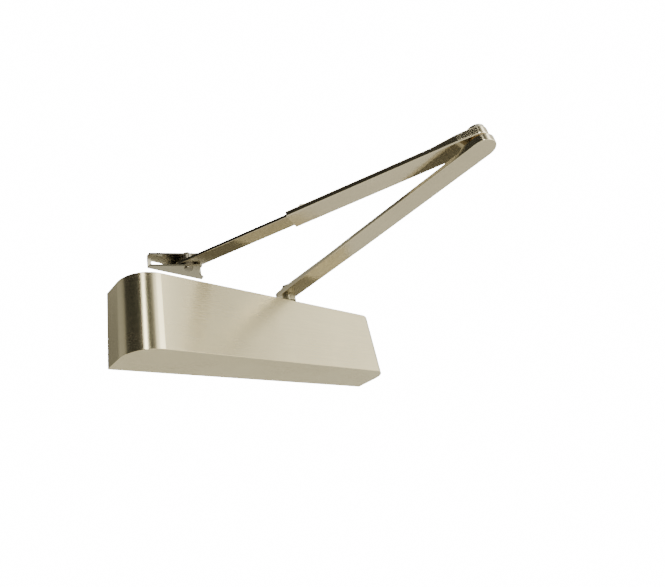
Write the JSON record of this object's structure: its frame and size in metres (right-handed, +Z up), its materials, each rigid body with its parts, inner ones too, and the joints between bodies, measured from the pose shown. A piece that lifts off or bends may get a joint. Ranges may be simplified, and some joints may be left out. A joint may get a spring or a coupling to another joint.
{
  "type": "overhead door closer",
  "caption": "Surface-mounted hydraulic door closer with a radiused sheet cover, main arm, telescopic forearm and U-shaped frame bracket.",
  "frame": {"origin": "centre of the four door fixing holes, on the back face of the mounting plate", "axes": "+X along the closer towards the valve end, +Y into the door, +Z up"},
  "size_m": [0.276, 0.2737, 0.1052],
  "materials": {
    "cover_nickel": "satin nickel, brushed along the length",
    "arm_nickel": "satin nickel, brushed along the arm",
    "shoe_nickel": "satin nickel",
    "bright_steel": "bright zinc plated steel",
    "ground_steel": "ground steel",
    "plate_steel": "zinc plated sheet steel",
    "cast_iron": "cast iron",
    "spring_steel": "oiled spring steel",
    "bronze": "sintered bronze",
    "seal_rubber": "nitrile rubber"
  },
  "bodies": {
    "closer_body": {"mounting_plate": "plate_steel", "cover_brackets": "plate_steel", "bracket_screws": "bright_steel", "cylinder_body": "cast_iron", "body_screws": "bright_steel", "upper_bearing": "bronze", "lower_bearing": "bronze", "upper_bearing_cap": "bright_steel", "lower_bearing_cap": "bright_steel", "shaft_seals": "seal_rubber", "valve_end_plug": "bright_steel", "spring_end_plug": "bright_steel", "plug_seals": "seal_rubber", "closing_spring": "spring_steel"},
    "cover": {"cover": "cover_nickel"},
    "pinion": {"pinion_shaft": "ground_steel", "spindle_collar": "bright_steel", "main_arm": "arm_nickel", "arm_washer": "bright_steel", "arm_screw": "bright_steel", "elbow_screw": "bright_steel"},
    "piston": {"piston": "ground_steel", "piston_rings": "bronze", "check_valve_ball": "ground_steel", "check_valve_clip": "spring_steel"},
    "spring_seat": {"spring_seat": "ground_steel"},
    "spring_adjuster": {"spring_adjuster": "bright_steel"},
    "sleeve": {"forearm_sleeve": "arm_nickel", "elbow_bush": "bronze"},
    "clamp": {"clamp_screw": "bright_steel"},
    "rod": {"forearm_rod": "arm_nickel"},
    "shoe": {"shoe": "shoe_nickel", "shoe_pin": "bright_steel", "pin_clip": "spring_steel", "pin_spacers": "bright_steel"},
    "closing_valve": {"closing_valve": "bright_steel", "closing_valve_seal": "seal_rubber"},
    "latching_valve": {"latching_valve": "bright_steel", "latching_valve_seal": "seal_rubber"},
    "backcheck_valve": {"backcheck_valve": "bright_steel", "backcheck_valve_seal": "seal_rubber"}
  },
  "joints": [
    {"name": "cover_pull_off", "type": "slide", "parent": "closer_body", "child": "cover", "axis": [0, -1, 0], "range_m": [0, 0.06]},
    {"name": "spindle_turn", "type": "hinge", "parent": "closer_body", "child": "pinion", "pos_m": [0.0344, -0.026, 0], "axis": [0, 0, -1], "range_deg": [0, 170], "stiffness_Nm_per_rad": 1.2, "springref_deg": -22.92},
    {"name": "piston_stroke", "type": "slide", "parent": "closer_body", "child": "piston", "axis": [-1, 0, 0], "range_m": [0, 0.0268], "deforming": ["closing_spring"]},
    {"name": "seat_travel", "type": "slide", "parent": "closer_body", "child": "spring_seat", "axis": [1, 0, 0], "range_m": [-0.00375, 0.00375]},
    {"name": "adjuster_turn", "type": "hinge", "parent": "closer_body", "child": "spring_adjuster", "pos_m": [-0.112, -0.026, 0], "axis": [1, 0, 0], "range_deg": [-1090, 1090]},
    {"name": "elbow_turn", "type": "hinge", "parent": "pinion", "child": "sleeve", "pos_m": [0.0344, -0.2633, 0.0589], "axis": [0, 0, 1], "range_deg": [-10, 130]},
    {"name": "clamp_turn", "type": "hinge", "parent": "sleeve", "child": "clamp", "pos_m": [-0.02798, -0.12909, 0.0649], "axis": [0, 0, 1], "range_deg": [0, 360]},
    {"name": "forearm_slide", "type": "slide", "parent": "sleeve", "child": "rod", "axis": [-0.4215, 0.9068, 0], "range_m": [-0.03, 0.045]},
    {"name": "shoe_turn", "type": "hinge", "parent": "rod", "child": "shoe", "pos_m": [-0.07654, -0.02462, 0.0629], "axis": [0, 0, 1], "range_deg": [-60, 105]},
    {"name": "closing_valve_turn", "type": "hinge", "parent": "closer_body", "child": "closing_valve", "pos_m": [0.106, -0.0375, 0.016], "axis": [1, 0, 0], "range_deg": [-360, 360]},
    {"name": "latching_valve_turn", "type": "hinge", "parent": "closer_body", "child": "latching_valve", "pos_m": [0.106, -0.0375, -0.016], "axis": [1, 0, 0], "range_deg": [-360, 360]},
    {"name": "backcheck_valve_turn", "type": "hinge", "parent": "closer_body", "child": "backcheck_valve", "pos_m": [0.106, -0.024, 0.0185], "axis": [1, 0, 0], "range_deg": [-360, 360]}
  ],
  "couplings": [
    {"joint": "piston_stroke", "follows": "spindle_turn", "m_per_rad": 0.009},
    {"joint": "adjuster_turn", "follows": "seat_travel", "rad_per_m": 5026.5}
  ]
}
